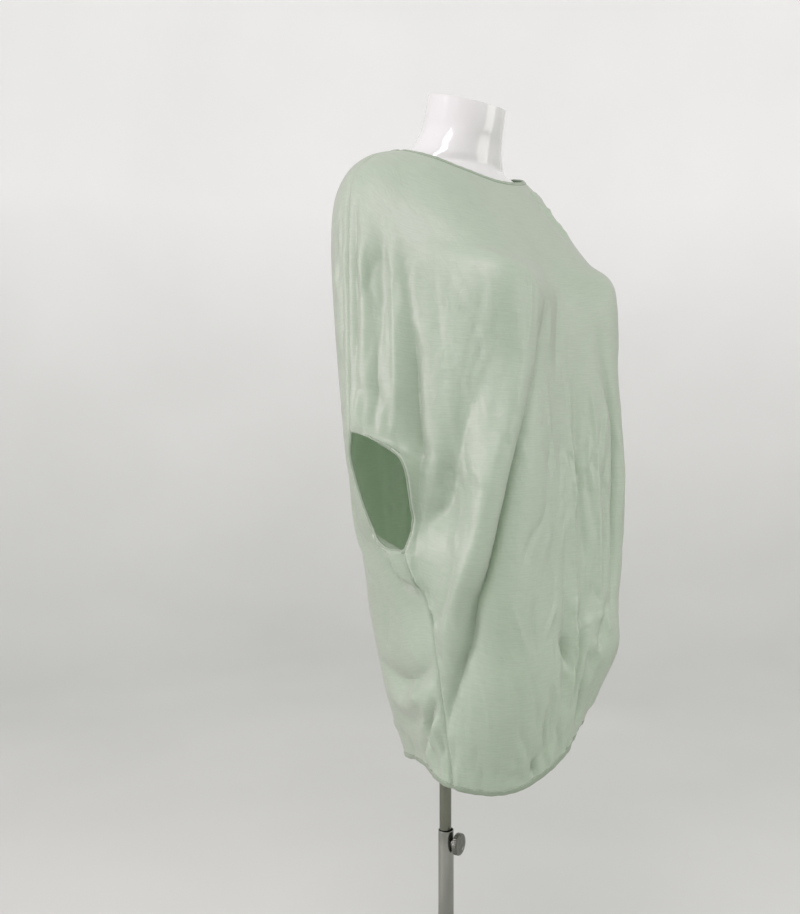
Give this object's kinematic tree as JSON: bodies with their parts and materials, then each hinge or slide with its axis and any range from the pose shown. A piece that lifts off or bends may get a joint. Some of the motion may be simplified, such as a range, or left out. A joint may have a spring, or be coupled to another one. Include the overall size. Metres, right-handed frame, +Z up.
{
  "type": "batwing tunic top on a dress form with a telescoping stand",
  "caption": "Oversized batwing jersey tunic with bound neckline and armholes and a gathered hem, hung on a limbless dress form over a telescoping pole and round foot.",
  "frame": {"origin": "on the floor at the stand's upright axis, at the centre of the base plate's underside", "axes": "+Z up along the pole; the tunic's front faces -Y; the wearer's right side is at -X"},
  "size_m": [0.4206, 0.379, 1.5444],
  "materials": {
    "jersey": "fine matt cotton and viscose jersey in pale mint green with a faint slub",
    "binding": "narrow folded binding of the same jersey, a shade deeper",
    "form": "smooth high-gloss white skin",
    "stand_metal": "bright chrome plate, lightly hazed on the pole"
  },
  "bodies": {
    "stand": {"base_plate": "stand_metal", "base_hub": "stand_metal", "outer_tube": "stand_metal", "clamp_boss": "stand_metal"},
    "pole": {"inner_pole": "stand_metal"},
    "dressed_form": {"dress_form": "form", "form_socket": "stand_metal", "front_panel": "jersey", "back_panel": "jersey", "neck_binding": "binding", "armhole_binding_right": "binding", "armhole_binding_left": "binding", "hem_band": "binding"},
    "knob": {"clamp_screw": "stand_metal", "clamp_knob": "stand_metal"}
  },
  "joints": [
    {"name": "height_slide", "type": "slide", "parent": "stand", "child": "pole", "axis": [0, 0, 1], "range_m": [-0.08, 0.2]},
    {"name": "form_turn", "type": "hinge", "parent": "pole", "child": "dressed_form", "pos_m": [-0.00026, 0.00097, 1.044], "axis": [0, 0, 1], "continuous": true},
    {"name": "knob_turn", "type": "hinge", "parent": "stand", "child": "knob", "pos_m": [0, 0, 0.489], "axis": [0.2588, -0.9659, 0], "continuous": true}
  ]
}
